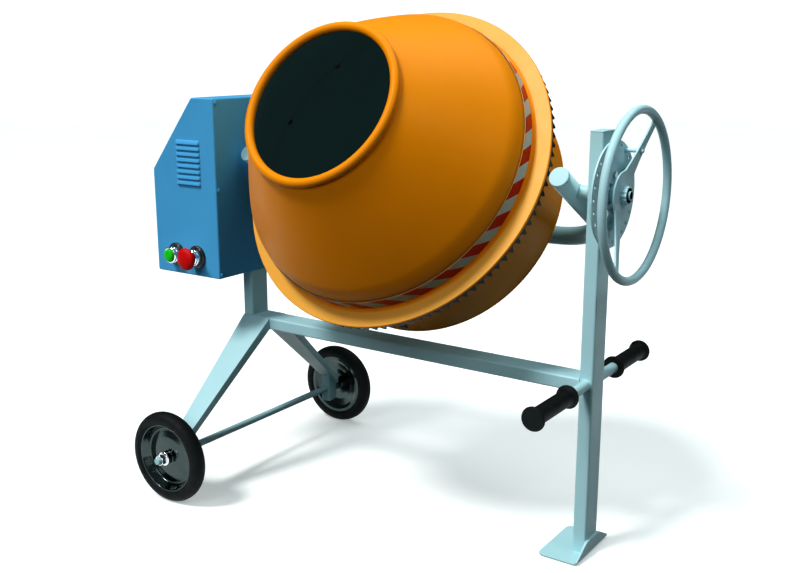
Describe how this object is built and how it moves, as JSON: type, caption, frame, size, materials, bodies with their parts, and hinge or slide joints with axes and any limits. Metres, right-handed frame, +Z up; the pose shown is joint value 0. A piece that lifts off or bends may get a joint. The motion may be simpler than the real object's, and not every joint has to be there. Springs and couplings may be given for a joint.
{
  "type": "concrete mixer",
  "caption": "Tilting-drum concrete mixer: two-post frame on wheels and a foot, belt and ring-gear drive, yoke with indexed handwheel.",
  "frame": {"origin": "on the floor, under the middle of the machine's outline", "axes": "+X along the tilt axis towards the handwheel, -Y towards the side the mouth faces, +Z up"},
  "size_m": [1.212, 0.7664, 1.1335],
  "materials": {
    "frame_paint": "semi-gloss pale grey-green paint",
    "housing_paint": "satin blue paint",
    "drum_paint": "semi-gloss amber paint",
    "stripe_tape": "reflective tape in slanted red and white stripes",
    "gear_iron": "black cast iron with a film of grease",
    "worn_steel": "steel worn by gravel",
    "zinc_steel": "zinc plated",
    "axle_nut_paint": "bright plated",
    "bronze": "sintered bronze",
    "wheel_chrome": "dark chrome",
    "tyre_rubber": "black solid rubber",
    "grip_rubber": "black moulded rubber",
    "belt_rubber": "ribbed belt",
    "motor_alloy": "die-cast",
    "black_plastic": "fine texture",
    "collar_chrome": "polished",
    "start_green": "moulded",
    "stop_red": "moulded"
  },
  "bodies": {
    "frame": {"main_beam": "frame_paint", "motor_side_post": "frame_paint", "handwheel_side_post": "frame_paint", "post_cap": "frame_paint", "foot_plate": "frame_paint", "leg_near": "frame_paint", "leg_far": "frame_paint", "axle_brackets": "frame_paint", "wheel_axle": "frame_paint", "handle_bar": "frame_paint", "index_disc": "frame_paint", "motor_bracket": "frame_paint", "housing_shell": "housing_paint", "housing_back_plate": "housing_paint", "housing_screws": "housing_paint", "index_disc_bolts": "zinc_steel", "axle_nuts": "axle_nut_paint", "trunnion_bushes": "bronze", "handle_grips": "grip_rubber", "drive_belt": "belt_rubber", "motor_body": "motor_alloy", "switch_blocks": "black_plastic", "button_base_rings": "black_plastic", "power_inlet": "black_plastic", "button_collars": "collar_chrome"},
    "motor_rotor": {"motor_shaft": "zinc_steel", "motor_pulley": "zinc_steel"},
    "pinion": {"pinion_shaft": "zinc_steel", "pinion_gear": "gear_iron", "large_pulley": "gear_iron"},
    "yoke": {"yoke_tube": "frame_paint", "yoke_end_caps": "frame_paint", "trunnion_right": "frame_paint", "trunnion_left": "frame_paint", "shaft_bushes": "bronze", "bearing_housing": "frame_paint", "drum_bearings": "zinc_steel"},
    "drum": {"drum_shaft": "zinc_steel", "drum_shaft_nut": "zinc_steel", "drum_upper_shell": "drum_paint", "mouth_ring": "drum_paint", "drum_collar": "drum_paint", "stripe_band": "stripe_tape", "drum_basin": "drum_paint", "ring_gear": "gear_iron", "ring_gear_bolts": "zinc_steel", "mixing_blade_1": "worn_steel", "mixing_blade_2": "worn_steel", "drum_bolts": "worn_steel"},
    "handwheel": {"handwheel_rim": "frame_paint", "handwheel_spokes": "frame_paint", "lock_pin": "frame_paint", "draw_bolt": "frame_paint", "lock_spring": "zinc_steel"},
    "wheel_near": {"tyre_near": "tyre_rubber", "wheel_near": "wheel_chrome"},
    "wheel_far": {"tyre_far": "tyre_rubber", "wheel_far": "wheel_chrome"},
    "start_button": {"start_button": "start_green"},
    "stop_button": {"stop_button": "stop_red"}
  },
  "joints": [
    {"name": "tilt", "type": "hinge", "parent": "frame", "child": "yoke", "pos_m": [0.056, 0.01524, 0.775], "axis": [1, 0, 0], "range_deg": [-60, 75]},
    {"name": "drum_spin", "type": "hinge", "parent": "yoke", "child": "drum", "pos_m": [0.056, 0.01524, 0.775], "axis": [0, -0.866, 0.5], "continuous": true},
    {"name": "pinion_spin", "type": "hinge", "parent": "yoke", "child": "pinion", "pos_m": [0.056, 0.01524, 0.775], "axis": [1, 0, 0], "continuous": true},
    {"name": "motor_spin", "type": "hinge", "parent": "frame", "child": "motor_rotor", "pos_m": [-0.504, 0.01524, 0.596], "axis": [1, 0, 0], "continuous": true},
    {"name": "handwheel_pull", "type": "slide", "parent": "yoke", "child": "handwheel", "axis": [1, 0, 0], "range_m": [0, 0.015], "stiffness_N_per_m": 2000, "springref_m": -0.01, "deforming": ["lock_spring"]},
    {"name": "wheel_near_spin", "type": "hinge", "parent": "frame", "child": "wheel_near", "pos_m": [-0.401, -0.31276, 0.11], "axis": [0, 1, 0], "continuous": true},
    {"name": "wheel_far_spin", "type": "hinge", "parent": "frame", "child": "wheel_far", "pos_m": [-0.401, 0.34324, 0.11], "axis": [0, 1, 0], "continuous": true},
    {"name": "start_press", "type": "slide", "parent": "frame", "child": "start_button", "axis": [0, 1, 0], "range_m": [0, 0.004], "stiffness_N_per_m": 800, "springref_m": -0.002},
    {"name": "stop_press", "type": "slide", "parent": "frame", "child": "stop_button", "axis": [0, 1, 0], "range_m": [0, 0.006], "stiffness_N_per_m": 800, "springref_m": -0.002}
  ],
  "couplings": [
    {"joint": "pinion_spin", "follows": "drum_spin", "ratio": 7.2},
    {"joint": "motor_spin", "follows": "drum_spin", "ratio": 51.84}
  ]
}
